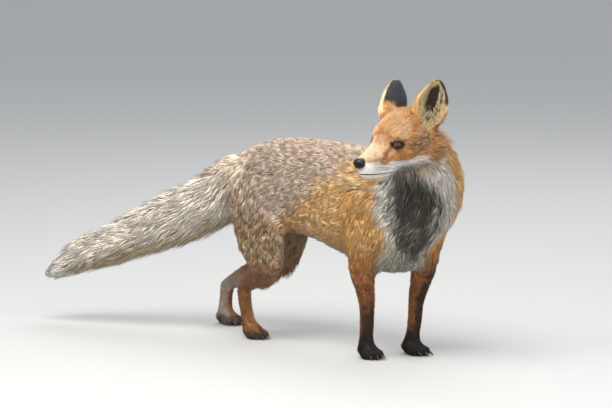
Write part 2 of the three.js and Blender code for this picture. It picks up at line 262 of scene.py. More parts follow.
# Each row, in millimetres: place, thickness of the body, depth of the coat, length and width of a lock.
COMB_LINES = {
    "skull": comb_line(on_head, [
        (150, 0, -12, 10, 0.8, 3.5, 0.5),
        (130, 0, -13, 18, 1.2, 5, 0.6),
        (105, 0, -12, 25, 1.8, 7, 0.75),
        (80, 0, -4, 36, 2.5, 9, 0.85),
        (48, 0, 4, 52, 4, 13, 1.0),
        (12, 0, 4, 55, 6, 20, 1.25),
        (-22, 0, 0, 45, 9, 28, 1.5),
    ]),
    "ear_left": comb_line(lambda *at: on_ear("left", *at), EAR_COMB),
    "ear_right": comb_line(lambda *at: on_ear("right", *at), EAR_COMB),
    "neck": comb_line(on_body, [
        (330, -32, 400, 42, 9, 28, 1.44),
        (318, -14, 352, 66, 15, 38, 1.68),
        (302, 2, 312, 82, 18, 42, 1.8),
        (286, 6, 265, 86, 18, 42, 1.8),
        (272, 2, 205, 70, 16, 40, 1.8),
        (262, 0, 165, 50, 12, 32, 1.68),
    ]),
    "trunk": comb_line(on_body, [
        (285, 0, 262, 84, 16, 38, 1.8),
        (200, 0, 262, 92, 12, 34, 1.68),
        (80, 0, 272, 86, 10, 32, 1.68),
        (-60, 0, 278, 82, 10, 32, 1.68),
        (-165, 0, 290, 55, 13, 36, 1.68),
    ]),
    "tail": comb_line(on_tail, [
        (0, 0, 4, 30, 13, 38, 1.74),
        (34, -4, -17, 46, 20, 48, 1.86),
        (85, -8, -60, 55, 25, 56, 1.98),
        (183, -8, -106, 53, 26, 60, 1.98),
        (255, -3, -138, 47, 24, 60, 1.98),
        (348, 4, -174, 38, 20, 55, 1.86),
        (400, 6, -203, 22, 12, 45, 1.74),
        (425, 5, -214, 9, 5, 36, 1.61),
    ]),
    "fore_left": comb_line(on_body, [
        (248, 62, 255, 44, 11, 30, 1.82),
        (252, 66, 210, 42, 9, 26, 1.68),
        (244, 62, 158, 27, 5.5, 17, 1.4),
        (241, 53, 110, 20, 3.5, 11, 1.05),
        (240, 48, 76, 17, 2.6, 8, 0.84),
        (236, 45, 32, 15, 2.2, 7, 0.77),
        (252, 43, 10, 13, 1.8, 6, 0.7),
        (270, 44, 7, 10, 1.6, 6, 0.7),
    ]),
    "fore_right": comb_line(on_body, [
        (238, -62, 255, 44, 11, 30, 1.82),
        (238, -66, 208, 42, 9, 26, 1.68),
        (216, -54, 158, 27, 5.5, 17, 1.4),
        (219, -50, 110, 20, 3.5, 11, 1.05),
        (222, -48, 76, 17, 2.6, 8, 0.84),
        (216, -46, 32, 15, 2.2, 7, 0.77),
        (234, -47, 10, 13, 1.8, 6, 0.7),
        (252, -50, 7, 10, 1.6, 6, 0.7),
    ]),
    "hind_left": comb_line(on_body, [
        (-110, 36, 310, 58, 11, 32, 1.96),
        (-108, 44, 240, 64, 10, 30, 1.82),
        (-122, 46, 175, 55, 8, 26, 1.68),
        (-160, 42, 112, 34, 6, 19, 1.4),
        (-215, 33, 90, 21, 4, 13, 1.12),
        (-256, 28, 72, 16, 2.8, 9, 0.91),
        (-256, 27, 34, 14, 2.2, 7, 0.77),
        (-236, 26, 10, 13, 1.8, 6, 0.7),
        (-222, 28, 7, 10, 1.6, 6, 0.7),
    ]),
    "hind_right": comb_line(on_body, [
        (-110, -36, 310, 58, 11, 32, 1.96),
        (-90, -48, 245, 66, 10, 30, 1.82),
        (-58, -56, 185, 58, 8, 26, 1.68),
        (-52, -62, 135, 36, 6, 19, 1.4),
        (-90, -54, 108, 23, 4, 13, 1.12),
        (-114, -50, 88, 17, 2.8, 9, 0.91),
        (-102, -49, 42, 14, 2.2, 7, 0.77),
        (-78, -48, 10, 13, 1.8, 6, 0.7),
        (-60, -50, 7, 10, 1.6, 6, 0.7),
    ]),
}
REACH = 3.0  # how fast a line's hold fades beyond the body's own thickness


def comb(points):
    """For each point: the lie of the coat, its depth, length and width, and the hold of each line."""
    count = len(points)
    lie = np.zeros((count, 3))
    coat = np.zeros((count, 3))
    total = np.zeros(count)
    hold = {}
    for line, (places, values) in COMB_LINES.items():
        nearest = np.full(count, np.inf)
        line_lie = np.zeros((count, 3))
        line_values = np.zeros((count, 4))
        for i in range(len(places) - 1):
            step = places[i + 1] - places[i]
            share = np.clip((points - places[i]) @ step / (step @ step), 0, 1)
            foot = places[i] + share[:, None] * step
            value = values[i] + share[:, None] * (values[i + 1] - values[i])
            reach = span(points - foot) / value[:, 0]
            nearer = reach < nearest
            nearest[nearer] = reach[nearer]
            line_values[nearer] = value[nearer]
            before = places[i] - places[max(i - 1, 0)] + step
            after = step + places[min(i + 2, len(places) - 1)] - places[i + 1]
            bend = before / np.linalg.norm(before) * (1 - share[:, None])
            bend = bend + after / np.linalg.norm(after) * share[:, None]
            line_lie[nearer] = bend[nearer]
        weight = np.exp(-REACH * (nearest**2 - 1)) + 1e-12
        hold[line] = weight
        total += weight
        lie += weight[:, None] * line_lie
        coat += weight[:, None] * line_values[:, 1:]
    for line in hold:
        hold[line] = hold[line] / total
    return lie, coat / total[:, None], hold


def span(vectors):
    return np.linalg.norm(vectors, axis=1)


def unit(vectors):
    return vectors / np.maximum(span(vectors), 1e-9)[:, None]


def ramp(low, high, value):
    """A smooth rise from 0 at low to 1 at high, or a fall where high is the smaller."""
    share = np.clip((value - low) / (high - low), 0, 1)
    return share * share * (3 - 2 * share)


def spread(mesh, values, strength, rounds):
    """Evens a value out over a mesh by averaging it with its neighbours, more where strength is more."""
    ends = np.empty(len(mesh.edges) * 2, np.int64)
    mesh.edges.foreach_get("vertices", ends)
    one, other = ends.reshape(-1, 2).T
    count = len(mesh.vertices)
    valence = np.maximum(np.bincount(ends, minlength=count), 1)
    strength = np.broadcast_to(strength, (count,))
    flat = values.reshape(count, -1).copy()
    for _ in range(rounds):
        for column in range(flat.shape[1]):
            value = flat[:, column]
            near = np.bincount(one, value[other], count) + np.bincount(other, value[one], count)
            flat[:, column] = value + strength * (near / valence - value)
    return flat.reshape(values.shape)


points = read(form.data)
_, _, hold = comb(points)
ears_hold = ramp(0.2, 0.7, hold["ear_left"] + hold["ear_right"])
head_hold = ramp(0.3, 0.8, hold["skull"])
feet_hold = ramp(0.03, 0.015, points[:, 2])
softness = 0.6 * (1 - 0.93 * ears_hold) * (1 - 0.5 * head_hold) * (1 - 0.9 * feet_hold)
points = spread(form.data, points, softness, 70)
points[:, 2] = np.maximum(points[:, 2], 0.0)
put_points(form.data, points)

# ---- Skin ----
# One closed hide from nose to tail tip. It lies inside the coat's outer form by the depth of the coat, and
# on the head it is drawn into eyelids, a groove where the lips meet, and hollow ears.
TRIANGLES_LEFT = 0.26  # share of all the hide's triangles left once those of the body are thinned
SOLE_HEIGHT = 0.006
EYE_RADIUS = (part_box("eye_left")[1].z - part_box("eye_left")[0].z) / 2
EYE_AIM = Vector((0.62, 0.77, 0.10)).normalized()
EYE_TILT = math.radians(-7)
OPENING = {"half_width": 0.0118, "upper": 0.0021, "lower": 0.0042}
LID = {"thick": 0.0008, "over_ball": 0.0007, "hidden": 0.0016, "flat": 0.0015, "fade": 0.0085, "edge": 0.0004}
CREASE = {"at": 0.0042, "half": 0.0009, "deep": 0.0004}


def eye_axes(side):
    """The way an eye looks, the way along its slit to the outer corner, and the way up across it."""
    look = HEAD_FORWARD * EYE_AIM.x + HEAD_LEFT * EYE_AIM.y * side + HEAD_UP * EYE_AIM.z
    along = (-HEAD_FORWARD * math.cos(EYE_TILT) + HEAD_UP * math.sin(EYE_TILT)).normalized()
    along = (along - look * along.dot(look)).normalized()
    up = look.cross(along) if side < 0 else along.cross(look)
    return np.array([look, along, up])


EYES = {"left": (middle("eye_left"), eye_axes(1)), "right": (middle("eye_right"), eye_axes(-1))}


def eye_slit(points, side):
    """How far each point is outside the opening of an eye, and its place in the eye's own axes."""
    centre, axes = EYES[side]
    local = (points - np.array(centre)) @ axes.T
    far = span(local)
    aside = EYE_RADIUS * np.arctan2(local[:, 1], local[:, 0])
    up = EYE_RADIUS * np.arcsin(np.clip(local[:, 2] / np.maximum(far, 1e-6), -1, 1))
    rise = np.where(up > 0, OPENING["upper"], OPENING["lower"])
    bulge = np.maximum(1 - np.abs(aside / OPENING["half_width"]) ** 2.2, 0)
    outside = np.abs(up) - rise * bulge
    past_corner = np.maximum(np.abs(aside) - OPENING["half_width"], 0)
    outside = np.where(past_corner > 0, np.hypot(past_corner, up), outside)
    return outside, local, far


LIP_PIVOT = (0.106, -0.030)
LIP_SLOPE = math.tan(math.radians(12))
LIP_CORNER = 0.074
LIP_LENGTH = 0.074
LIP_SAG = 0.0016
LIP = {"deep": 0.0019, "half": 0.0008, "roll": 0.0006, "roll_at": 0.0021, "roll_half": 0.0012}


def lip_line(head):
    """How high each point is over the line where the lips meet, and how far along the mouth it is."""
    x = head[:, 0]
    sag = LIP_SAG * np.sin(np.pi * np.clip((x - LIP_CORNER) / LIP_LENGTH, 0, 1))
    height = head[:, 2] - (LIP_PIVOT[1] + (x - LIP_PIVOT[0]) * LIP_SLOPE - sag)
    inside = ramp(LIP_CORNER - 0.005, LIP_CORNER + 0.004, x)
    return height, inside


outer = read(form.data)
outer_normals = unit(spread(form.data, read(form.data, "normal"), 0.5, 10))
_, coat, hold = comb(outer)
depth = spread(form.data, coat[:, 0], 0.5, 15)
depth = depth * ramp(0, SOLE_HEIGHT, outer[:, 2])
outer_tree = BVHTree.FromPolygons([tuple(p) for p in outer], [tuple(p.vertices) for p in form.data.polygons])

skin_data = form.data.copy()
skin_data.name = "skin"
put_points(skin_data, outer - outer_normals * depth[:, None])
skin = show("skin", skin_data)
body_group = skin.vertex_groups.new(name="body")
head_hold = hold["skull"] + hold["ear_left"] + hold["ear_right"]
on_face = ramp(0.35, 0.5, head_hold)
for index in np.flatnonzero(on_face < 0.5):
    body_group.add([int(index)], 1.0, "REPLACE")
thin = skin.modifiers.new("thin", "DECIMATE")
thin.ratio = TRIANGLES_LEFT
thin.vertex_group = "body"
skin.data = finished(skin)
skin.modifiers.clear()
skin.vertex_groups.clear()

# The hollow of an ear, row by row: height over the root, half the width of its mouth, and how far out of
# the root's middle its floor lies, in millimetres.
EAR_HOLLOW = np.array([
    (-24, 4, 18),
    (-12, 12, 9),
    (4, 21, -4),
    (20, 25.5, -10.4),
    (34, 25, -11.1),
    (46, 22, -10.4),
    (58, 15, -9),
    (66, 8, -8.5),
    (71, 3, -7),
])
OUTER = {"left": 1, "right": -1}


def ear_place(points, side):
    """Places in an ear's own axes in millimetres, how far across its mouth they are, and its floor there."""
    local = (points - np.array(EAR_ROOTS[side])) @ np.array(EAR_AXES[side]) * 1000
    half = np.interp(local[:, 2], EAR_HOLLOW[:, 0], EAR_HOLLOW[:, 1])
    floor_there = np.interp(local[:, 2], EAR_HOLLOW[:, 0], EAR_HOLLOW[:, 2])
    within = (local[:, 2] > EAR_HOLLOW[0, 0]) & (local[:, 2] < EAR_HOLLOW[-1, 0])
    across = np.where(within, local[:, 1] / half, 9.0)
    return local, across, floor_there


FACE_FORMS = [
    ((70, 25, 26), 9, 2.8),
    ((94, 20, 5), 9, -1.2),
    ((127, 14, -14), 11, 1.8),
    ((108, 20, -21), 9, 1.2),
    ((84, 0, 22), 12, -1.0),
    ((62, 37, -9), 12, 1.2),
    ((38, 48, -37), 11, 3.0),
]  # place on the head in millimetres, how far it reaches, and how much it swells


def divide_near(mesh, near):
    """Halves every edge whose two ends are near, for a finer surface there."""
    chosen = [edge for edge in mesh.edges if near[edge.verts[0].index] and near[edge.verts[1].index]]
    bmesh.ops.subdivide_edges(mesh, edges=chosen, cuts=1, use_grid_fill=True)
    mesh.verts.index_update()


def mesh_of(work):
    return np.array([vertex.co for vertex in work.verts])


FINER = ((0.016, 0.0045), (0.0135, 0.0025))  # how far round the eyes and the lips each halving goes
fine = bmesh.new()
fine.from_mesh(skin.data)
for eye_reach, lip_reach in FINER:
    work_points = mesh_of(fine)
    near = np.zeros(len(work_points), bool)
    for side in EYES:
        _, local, far = eye_slit(work_points, side)
        near |= (far < eye_reach) & (local[:, 0] > -0.002)
    head = in_head(work_points)
    lip_height, along_mouth = lip_line(head)
    near |= (np.abs(lip_height) < lip_reach) & (along_mouth > 0) & (head[:, 0] > 0.06)
    fine.verts.ensure_lookup_table()
    divide_near(fine, near)
fine.to_mesh(skin.data)
fine.free()

points = read(skin.data)
normals = unit(spread(skin.data, read(skin.data, "normal"), 0.5, 6))
head = in_head(points)
for place, reach, swell in FACE_FORMS:
    for side in (1, -1):
        if place[1] == 0 and side < 0:
            continue
        away = span(head * 1000 - np.array([place[0], place[1] * side, place[2]]))
        points += normals * (swell / 1000 * np.exp(-((away / reach) ** 2)))[:, None]
for side in ("left", "right"):
    local, across, floor_there = ear_place(points, side)
    sunk = ramp(1.0, 0.68, np.abs(across))
    sunk *= (np.abs(local[:, 0]) < 30)
    fall = np.minimum(floor_there - local[:, 0], 0) * sunk / 1000
    points += fall[:, None] * np.array(EAR_AXES[side])[:, 0]
for side in EYES:
    centre = np.array(EYES[side][0])
    outside, local, far = eye_slit(points, side)
    toward = (points - centre) / np.maximum(far, 1e-6)[:, None]
    crease = CREASE["deep"] * np.exp(-(((outside - CREASE["at"]) / CREASE["half"]) ** 2))
    lid = EYE_RADIUS + LID["thick"] - crease
    opened = ramp(LID["edge"], -LID["edge"], outside)
    lid = lid - opened * (LID["thick"] + LID["hidden"])
    cover = (1 - ramp(LID["flat"], LID["fade"], outside)) * ramp(0.021, 0.014, far)
    laid = far + (lid - far) * cover
    clear = EYE_RADIUS + LID["over_ball"] - opened * 0.004
    laid = np.where(local[:, 0] > -0.005, np.maximum(laid, clear), laid)
    points += toward * (laid - far)[:, None]
lip_height, along_mouth = lip_line(in_head(points))
groove = -LIP["deep"] * np.exp(-((lip_height / LIP["half"]) ** 2))
groove += LIP["roll"] * np.exp(-(((np.abs(lip_height) - LIP["roll_at"]) / LIP["roll_half"]) ** 2))
points += normals * (groove * along_mouth)[:, None]
put_points(skin.data, points)
skin.data.shade_smooth()

# ---- Markings ----
# The coat's colours, worked out from where a hair grows: grizzled back and haunches, orange shoulders, a
# bib dark in its middle and white at its edges, white lips, rust legs with dark feet, ears black behind,
# and a tail that pales to its tip. Some are painted light: the bib's greyed edge and dark middle are partly
# painted shade under the head, the underside of the head is darkened as painted shade, the top of the
# muzzle and the upper right shoulder are paler as a painted highlight, the left foreleg's black front
# reaches higher as partly painted shade, and the ears have painted shade deep in their cups and a
# painted shadow behind the left one's root.


def tone(code):
    """A colour given as a web code, in the linear light that materials use."""
    value = np.array([int(code[i : i + 2], 16) for i in (1, 3, 5)]) / 255
    return np.where(value <= 0.04045, value / 12.92, ((value + 0.055) / 1.055) ** 2.4)


# Each coat: colour near the skin, colour toward the tip, share of dark locks, share of pale ones.
COATS = {
    "grizzled": ("#a28a72", "#d6beaa", 0.20, 0.38),
    "rump": ("#d2ba9e", "#faead4", 0.08, 0.45),
    "orange": ("#b88547", "#e8b56c", 0.09, 0.26),
    "gold": ("#ba8d52", "#ecc083", 0.07, 0.22),
    "deep_orange": ("#a06a36", "#d69c5a", 0.12, 0.14),
    "rust": ("#7d4a25", "#ac6f3b", 0.16, 0.06),
    "black": ("#16110f", "#231d1b", 0.10, 0.0),
    "white": ("#e0dbd2", "#fbf9f4", 0.01, 0.30),
    # bib_edge and bib: a greyed white and a dark grey, partly the chest's own colours and partly painted
    # shade under the head
    "bib_edge": ("#c6c0b4", "#e8e4dc", 0.06, 0.30),
    "bib": ("#26251d", "#454334", 0.30, 0.22),
    "bib_low": ("#66625a", "#bab6a6", 0.20, 0.42),
    "belly": ("#7c6d5a", "#b5a594", 0.15, 0.2),
    "tail": ("#d6c9b8", "#f4ebdf", 0.06, 0.40),
    "tail_under": ("#8a744e", "#bca275", 0.15, 0.18),
    "tail_tip": ("#d3cdc2", "#f3efe8", 0.03, 0.35),
    "face": ("#96612f", "#c98f4f", 0.08, 0.22),
    "brow": ("#b3854f", "#e6c693", 0.08, 0.40),
    "tear": ("#80502a", "#a86a3e", 0.12, 0.04),
    "temple": ("#74502c", "#ad8350", 0.38, 0.28),
    # muzzle: a cream laid on the top of the muzzle and the upper right shoulder as a painted highlight
    "muzzle": ("#cdae88", "#f0dabb", 0.03, 0.25),
    "cheek": ("#cdc4b4", "#f2ede2", 0.08, 0.40),
    "ear_back": ("#17151a", "#2b2830", 0.0, 0.0),
    "ear_rim": ("#a98346", "#dbb57a", 0.06, 0.25),
    "ear_front": ("#c9a673", "#efdcb4", 0.02, 0.35),
    # ear_shade: painted shade, deep in the ear cups and behind the left ear's root
    "ear_shade": ("#1b110a", "#2c1d12", 0.2, 0.1),
    "ear_edge": ("#947742", "#d8bd84", 0.08, 0.30),
    "eye_rim": ("#120d0b", "#1c1512", 0.0, 0.0),
    "thigh": ("#7e664a", "#b09370", 0.13, 0.24),
    "shank": ("#a08a76", "#d5c4b2", 0.1, 0.2),
}
DARK_LOCK = tone("#33241b")
PALE_LOCK = tone("#e6d9c4")


def drift(points, size, seed):
    """A smooth random value, mostly between -1 and 1, whose swells are about `size` across."""
    rng = np.random.default_rng(seed)
    total = np.zeros(len(points))
    for _ in range(7):
        way = rng.normal(size=3)
        way *= 2 * np.pi / size * rng.uniform(0.6, 1.5) / np.linalg.norm(way)
        total += np.sin(points @ way + rng.uniform(0, 2 * np.pi))
    return total / 2.6


def coat_row(name):
    under, tip, dark, pale = COATS[name]
    return np.concatenate([tone(under), tone(tip), [dark, pale]])


def markings(points, normals, hold):
    """For each point, the colour near the skin, the colour of the tip, and the shares of dark and pale."""
    x, y, z = ((points - np.array(MIDLINE)) * 1000).T
    hx, hy, hz = (in_head(points) * 1000).T
    nx, ny, nz = normals.T
    small = drift(points, 0.02, 1)
    broad = drift(points, 0.07, 2)
    row = np.tile(coat_row("grizzled"), (len(points), 1))

    def lay(name, share):
        row[:] = row + (coat_row(name) - row) * np.clip(share, 0, 1)[:, None]

    hind = hold["hind_left"] + hold["hind_right"]
    fore = hold["fore_left"] + hold["fore_right"]
    neck = hold["neck"]
    tail = hold["tail"]
    lay("rump", ramp(-60, -150, x + 12 * broad) * ramp(260, 320, z))
    border = np.interp(z, [190, 215, 238, 277, 305, 330, 356], [-50, -12, 26, 105, 128, 165, 255])
    flank = ramp(-28, 28, x - border + 12 * broad + 6 * small) * (1 - ramp(0.25, 0.6, hind + tail))
    lay("gold", flank)
    # The upper right shoulder, the side the main lamp lights, is paler and creamier: a painted highlight.
    shoulder_highlight = ramp(282, 318, z + 8 * broad) * ramp(-30, -60, y)
    lay("orange", flank * ramp(120, 230, x + 10 * broad) * (1 - 0.7 * shoulder_highlight))
    lay("muzzle", flank * shoulder_highlight * ramp(265, 240, x) * 0.6)
    lay("deep_orange", flank * ramp(235, 180, z + 12 * broad) * ramp(90, 190, x))
    lay("belly", ramp(-0.5, -0.85, nz) * ramp(215, 180, z) * ramp(270, 200, x))

    # Hind legs: grizzled thighs, rust shanks and hocks, paler inside.
    low_hind = hind * ramp(0.35, 0.6, hind)
    lay("thigh", ramp(0.15, 0.5, hind) * ramp(305, 205, z + 14 * small + 14 * broad))
    lay("rust", low_hind * ramp(165, 112, z + 14 * small) * 0.85)
    inner = np.where(y > 0, -ny, ny)
    lay("shank", low_hind * ramp(0.2, 0.7, inner) * ramp(120, 70, z))
    lay("black", low_hind * ramp(26, 12, z + 4 * small) * 0.75)

    # Forelegs: rust, with black down the front and on the feet. On the left foreleg the black front starts
    # higher, partly its own black and partly painted shade.
    low_fore = fore * ramp(0.45, 0.75, fore)
    lay("deep_orange", low_fore * ramp(215, 160, z))
    lay("rust", low_fore * ramp(195, 140, z + 10 * small))
    # The black front starts higher on the left foreleg: partly its own black, partly painted shade.
    black_and_shade_top = np.where(y > 0, 190, 125)
    front = ramp(0.1, 0.7, nx + 0.2 * small + 0.5 * np.sign(y) * ny)
    lay("black", low_fore * ramp(0, -50, z - black_and_shade_top + 12 * small) * front * 0.85)
    lay("black", low_fore * ramp(62, 26, z + 10 * small))

    # Tail: grizzled and pale above, with a faint dark spot near its root, ochre below, white at the tip.
    tail_share = ramp(0.3, 0.7, tail)
    lay("tail", tail_share)
    lay("tail_under", tail_share * ramp(-0.15, -0.7, nz + 0.15 * small) * 0.8)
    reach = span(points - np.array(TAIL_ROOT)) * 1000
    spot = ramp(26, 10, np.abs(reach - 78)) * ramp(0.3, 0.8, nz) * ramp(0.2, 0.7, tail)
    lay("deep_orange", spot * 0.35)
    lay("black", spot * 0.3)
    lay("tail_tip", tail_share * ramp(360, 440, reach + 14 * small))

    # Bib: on the front of the neck, turning with the head higher up, white at its edges. Its white edge is
    # greyed and its middle darkened, partly the chest's own grey and partly painted shade under the head.
    core_x = np.interp(z, [165, 265, 312, 352, 400], [262, 272, 290, 308, 326])
    core_y = np.interp(z, [165, 265, 312, 352, 400], [0, 4, 0, -14, -32])
    heading = np.degrees(np.arctan2(y - core_y, x - core_x))
    bib_heading = np.interp(z, [170, 230, 300, 345, 380], [-10, -18, -34, -52, -70])
    off_bib = np.abs((heading - bib_heading + 180) % 360 - 180) + 5 * small + 3 * broad
    bib_half = np.interp(z, [140, 170, 200, 260, 320, 370], [120, 95, 68, 52, 62, 74])
    on_front = np.clip(neck + 0.9 * hold["trunk"] + 0.6 * fore, 0, 1) * ramp(128, 142, z)
    on_front = on_front * ramp(0.75, 0.5, fore)
    bib = ramp(4, -8, off_bib - bib_half) * on_front * ramp(0.75, 0.5, hold["skull"])
    # The greyed edge and dark middle of the bib are partly painted shade under the head.
    lay("bib_edge", bib)
    jaw = ramp(-68, -56, hz + 3 * small) * ramp(76, 62, hx) * ramp(16, 28, np.abs(hy))
    lay("bib", bib * ramp(4, -16, off_bib - bib_half + 24 + 4 * small) * (1 - jaw))
    lay("bib_low", bib * ramp(225, 185, z + 10 * small))

    # Head.
    skull = ramp(0.3, 0.7, hold["skull"])
    hay = np.abs(hy)
    lay("face", skull)
    # The top of the muzzle is paler cream: a painted highlight of the light from above.
    lay("muzzle", skull * ramp(84, 120, hx + 4 * small) * ramp(-6, 6, hz + 2 * small))
    brow = np.hypot((hx - 68) / 1.7, hz - 29)
    lay("brow", skull * ramp(13, 3, brow + 2.5 * small) * ramp(4, 14, hay) * 0.8)
    lay("brow", skull * ramp(28, 44, hz) * ramp(30, 52, hx) * 0.45)
    lay("temple", skull * ramp(17, 6, np.abs(hz + 3 + (hx - 68) * 0.35) + 2 * small)
        * ramp(72, 58, hx) * ramp(18, 34, hx) * (hay > 25))
    tear = np.hypot((hx - 106 + (hz + 2) * 1.1) / 1.1, (hz + 2) / 1.3)
    lay("tear", skull * ramp(9, 4, tear + 2 * small) * ramp(10, 16, hay))
    along_jaw = [0, 25, 46, 62, 84, 100, 112, 122, 145]
    white_top = np.interp(hx, along_jaw, [-40, -27, -18, -19, -17, -15, -19, -8, -3])
    lay("cheek", skull * ramp(4, -5, hz - white_top + 3 * small) * ramp(68, 50, hx))
    lay("white", skull * ramp(3, -3, hz - white_top + 1.5 * small) * ramp(50, 68, hx))
    lay("bib", skull * ramp(-58, -70, hz + 4 * small) * ramp(80, 50, hx) * 0.7)
    # Surfaces of the head that face down are darkened with the bib's colours: painted shade under the jaw.
    lay("bib", skull * ramp(-0.35, -0.8, nz) * ramp(100, 80, hx) * 0.7)
    for side in EYES:
        outside, local, far = eye_slit(points, side)
        close = ramp(EYE_RADIUS + 0.008, EYE_RADIUS + 0.005, far) * ramp(0.0112, 0.0098, local[:, 1])
        corner = 0.0004 * ramp(0.004, 0.012, np.abs(local[:, 1]))
        lay("eye_rim", ramp(0.0036, 0.0026, outside - corner) * close)
    whisker_bed = np.hypot(hx - 122, (hz + 13) * 1.5)
    lay("tear", skull * ramp(7, 2, whisker_bed + 2 * small) * 0.3)

    # Ears: black behind, orange at the root and along the front edge, pale at the edges of the cup, with
    # painted shade deep in the cup and a painted shadow behind the left ear's root.
    for side in ("left", "right"):
        ear = ramp(0.35, 0.7, hold["ear_" + side])
        local, across, floor_there = ear_place(points, side)
        ex, ey, ez = local.T
        facing = normals @ np.array(EAR_AXES[side])[:, 0]
        hollow = ramp(-1.3, -0.5, ex - floor_there)
        hollow = hollow * ramp(-0.85, -0.55, facing)
        hollow = np.where(np.abs(across) < 0.45, hollow, ramp(-0.45, -0.05, facing))
        cup = ramp(1.04, 0.96, np.abs(across)) * hollow
        cup = cup * np.maximum(ear, ramp(-20, -12, ez) * (np.abs(ex) < 30))
        lay("face", ear)
        lay("ear_rim", ear * ramp(10, 30, ez))
        if side == "right":
            front_edge = ramp(-0.5, -0.25, facing) * ramp(12, 18, ey) * ramp(52, 40, ez)
            lay("ear_front", ear * front_edge * ramp(-8, 8, ez))
        behind = ramp(0.1, -0.25, facing + 0.1 * small)
        if side == "right":
            behind = ramp(-0.25, -0.45, facing + 0.05 * small)
        lay("ear_back", ear * ramp(17, 23, ez + 2 * small) * behind)
        lay("ear_back", ear * ramp(52, 60, ez + 1.5 * small))
        lay("ear_edge", cup)
        outer_rim = ramp(0.80, 0.90, across * OUTER[side] + ramp(50, 68, ez) * 0.4)
        lay("ear_back", ear * outer_rim * ramp(24, 34, ez + 2 * small))
        lay("ear_rim", cup * ramp(-0.58, -0.78, across * OUTER[side] + 0.05 * small))
        # A painted shadow behind the left ear's root.
        shadow_behind_ear_root = ramp(16, 2, np.hypot(ex + 2, (ez + 8) * 0.6)) * ramp(6, 16, ey * OUTER[side])
        lay("ear_shade", shadow_behind_ear_root * (side == "left") * 0.6)
        lean = across - 0.14 * OUTER[side]
        # Painted shade deep in the cup's hollow.
        deep = np.hypot(lean * 1.35, (ez - 26) / 44) + 0.07 * small
        lay("ear_shade", cup * ramp(1.0, 0.7, deep))
    return row


SLIT_DARK = tone("#120c0a")
LIP_DARK = tone("#16100e")
LIP_BLACK_DROP = 0.0004  # the black of the lips lies this far under the line where they meet
NOSE_RIM = (0.0118, 0.0108)  # from the nose's middle, the dark skin round the leather fades between these
points = read(skin.data)
normals = read(skin.data, "normal")
_, _, hold = comb(points)
row = markings(points, normals, hold)
shade = row[:, 0:3] * 0.45 + row[:, 3:6] * 0.55
shade *= (1 + 0.10 * drift(points, 0.006, 5))[:, None]
for side in EYES:
    outside, _, far = eye_slit(points, side)
    rim = ramp(0.0065, 0.0030, outside) * ramp(EYE_RADIUS + 0.009, EYE_RADIUS + 0.005, far)
    shade += (SLIT_DARK - shade) * rim[:, None]
from_nose = span(points - np.array(middle("nose")))
shade += (SLIT_DARK - shade) * ramp(*NOSE_RIM, from_nose)[:, None]
lip_height, along_mouth = lip_line(in_head(points))
lip = ramp(0.0021, 0.0011, np.abs(lip_height + LIP_BLACK_DROP)) * along_mouth
shade += (LIP_DARK - shade) * lip[:, None]


def store_colour(mesh, colours):
    layer = mesh.color_attributes.new("coat_colour", "FLOAT_COLOR", "POINT")
    flat = np.ones((len(mesh.vertices), 4), np.float32)
    flat[:, :3] = np.clip(colours, 0, 1)
    layer.data.foreach_set("color", flat.ravel())


def add(tree, kind, **sockets):
    """A new shader node with these sockets set."""
    node = tree.nodes.new("ShaderNode" + kind)
    feed(node, **sockets)
    return node


def texture(material, kind, **sockets):
    """A texture node laid out in the object's own space."""
    where = add(material.node_tree, "TexCoord")
    return add(material.node_tree, kind, Vector=where.outputs["Object"], **sockets)


def relief(height, strength, distance):
    bump = add(height.id_data, "Bump", Height=height, Strength=strength, Distance=distance)
    return bump.outputs["Normal"]


def painted(material):
    """The colour that each vertex carries, as the material sees it."""
    node = add(material.node_tree, "Attribute")
    node.attribute_name = "coat_colour"
    return node.outputs["Color"]


store_colour(skin.data, shade)
hide = paint("hide", Roughness=0.62, Specular_IOR_Level=0.25)
stubble = texture(hide, "TexNoise", Scale=900, Detail=3)
dress(hide, Base_Color=painted(hide), Normal=relief(stubble.outputs["Fac"], 0.5, 0.0006))
skin.data.materials.clear()
skin.data.materials.append(hide)
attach(skin, "root")
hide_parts(*FLESH)

# ---- Coat ----
# Locks of fur rooted in the skin. Each is a thin three-sided blade that rises from its root, bends over and
# ends near the coat's outer form, and neighbouring locks draw together at their tips. Ears and lower legs
# have straight spikes. Each part of the body has one piece of coat or more to itself.
PATCH = 0.003  # side of the patch of colour that each lock has on the unwrapped skin
DROOP = 0.55
SWIRL = 0.30
WAVE = 0.12


def unwrap(points, hold):
    """Places on the unwrapped skin: one strip for each comb line, along it and round it."""
    lines = list(COMB_LINES)
    strongest = np.argmax(np.stack([hold[line] for line in lines]), axis=0)
    spots = np.zeros((len(points), 2))
    for number, line in enumerate(lines):
        mine = strongest == number
        places = COMB_LINES[line][0]
        lengths = span(np.diff(places, axis=0))
        starts = np.concatenate([[0], np.cumsum(lengths)])
        near = np.full(mine.sum(), np.inf)
        along = np.zeros(mine.sum())
        turn = np.zeros(mine.sum())
        for i, length in enumerate(lengths):
            step = (places[i + 1] - places[i]) / length
            from_start = points[mine] - places[i]
            walk = np.clip(from_start @ step, 0, length)
            off = from_start - walk[:, None] * step
            reach = span(off)
            across = np.cross(step, [0.3, 0.2, 1.0])
            across /= np.linalg.norm(across)
            angle = np.arctan2(off @ np.cross(step, across), off @ across) / (2 * np.pi) + 0.5
            nearer = reach < near
            near[nearer] = reach[nearer]
            along[nearer] = (starts[i] + walk)[nearer]
            turn[nearer] = angle[nearer]
        spots[mine, 0] = 0.01 + 0.98 * along / starts[-1]
        spots[mine, 1] = (number + 0.02 + 0.96 * turn) / len(lines)
    return spots


